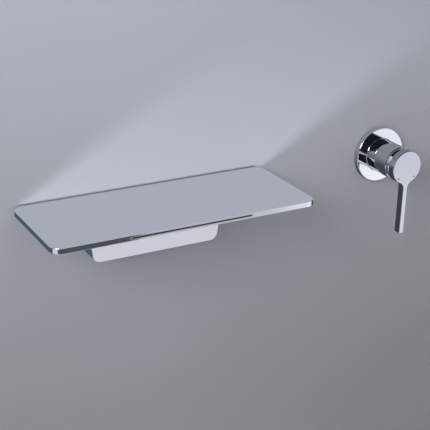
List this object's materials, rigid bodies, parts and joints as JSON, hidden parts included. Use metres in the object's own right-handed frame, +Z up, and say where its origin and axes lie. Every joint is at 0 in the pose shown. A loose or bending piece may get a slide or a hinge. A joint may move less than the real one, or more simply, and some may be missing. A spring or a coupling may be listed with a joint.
{
  "type": "waterfall basin faucet",
  "caption": "Wall-mounted waterfall basin faucet: a flat shelf spout with a slot in its front edge and a separate single-lever mixer beside it.",
  "frame": {"origin": "middle of the shelf's back edge, where it meets the finished wall: mid-width and mid-thickness", "axes": "+X to the right for someone facing the wall, +Y into the wall, +Z up; the fronts face -Y and the finished wall is the plane y = 0"},
  "size_m": [0.518, 0.178, 0.119],
  "materials": {
    "chrome": "polished",
    "brass": "machined",
    "stainless": "satin",
    "zinc_steel": "zinc plated",
    "copper": "drawn tube",
    "rubber": "moulded",
    "nylon": "moulded",
    "acetal": "moulded",
    "ceramic": "lapped",
    "red": "enamel",
    "blue": "enamel"
  },
  "bodies": {
    "fixed": {"shelf_shell": "chrome", "shelf_floor": "stainless", "floor_screws": "stainless", "slot_mouthpiece": "stainless", "flow_comb": "acetal", "channel_seal": "rubber", "wall_bracket": "stainless", "wall_screws": "zinc_steel", "wall_plugs": "nylon", "shelf_fixing_screws": "stainless", "bracket_cover": "chrome", "cover_screws": "stainless", "spout_inlet_block": "brass", "spigot_o_ring": "rubber", "wall_elbow": "brass", "mixed_water_pipe": "copper", "compression_nuts": "brass", "olives": "brass", "mixer_body": "brass", "port_seals": "rubber", "cartridge_base": "acetal", "fixed_disc": "ceramic", "cartridge_housing": "acetal", "retaining_nut": "brass", "dome_ring": "chrome", "neck_sleeve": "chrome", "sleeve_o_ring": "rubber", "escutcheon": "chrome", "escutcheon_o_ring": "rubber", "escutcheon_gasket": "rubber"},
    "turning": {"rotor": "acetal", "pivot_pin": "stainless"},
    "disc": {"moving_disc": "ceramic", "disc_carrier": "acetal"},
    "lever": {"spindle": "brass", "lever_handle": "chrome", "handle_screw": "stainless", "screw_cap": "chrome", "hot_dot": "red", "cold_dot": "blue"}
  },
  "joints": [
    {"name": "temperature", "type": "hinge", "parent": "fixed", "child": "turning", "pos_m": [0.319, -0.0385, -0.0057], "axis": [0, 1, 0], "range_deg": [-50, 50]},
    {"name": "lever_lift", "type": "hinge", "parent": "turning", "child": "lever", "pos_m": [0.319, -0.0385, -0.0057], "axis": [-1, 0, 0], "range_deg": [0, 15]},
    {"name": "disc_slide", "type": "slide", "parent": "turning", "child": "disc", "axis": [0, 0, -1], "range_m": [0, 0.0024]}
  ],
  "couplings": [
    {"joint": "disc_slide", "follows": "lever_lift", "m_per_rad": 0.009}
  ]
}
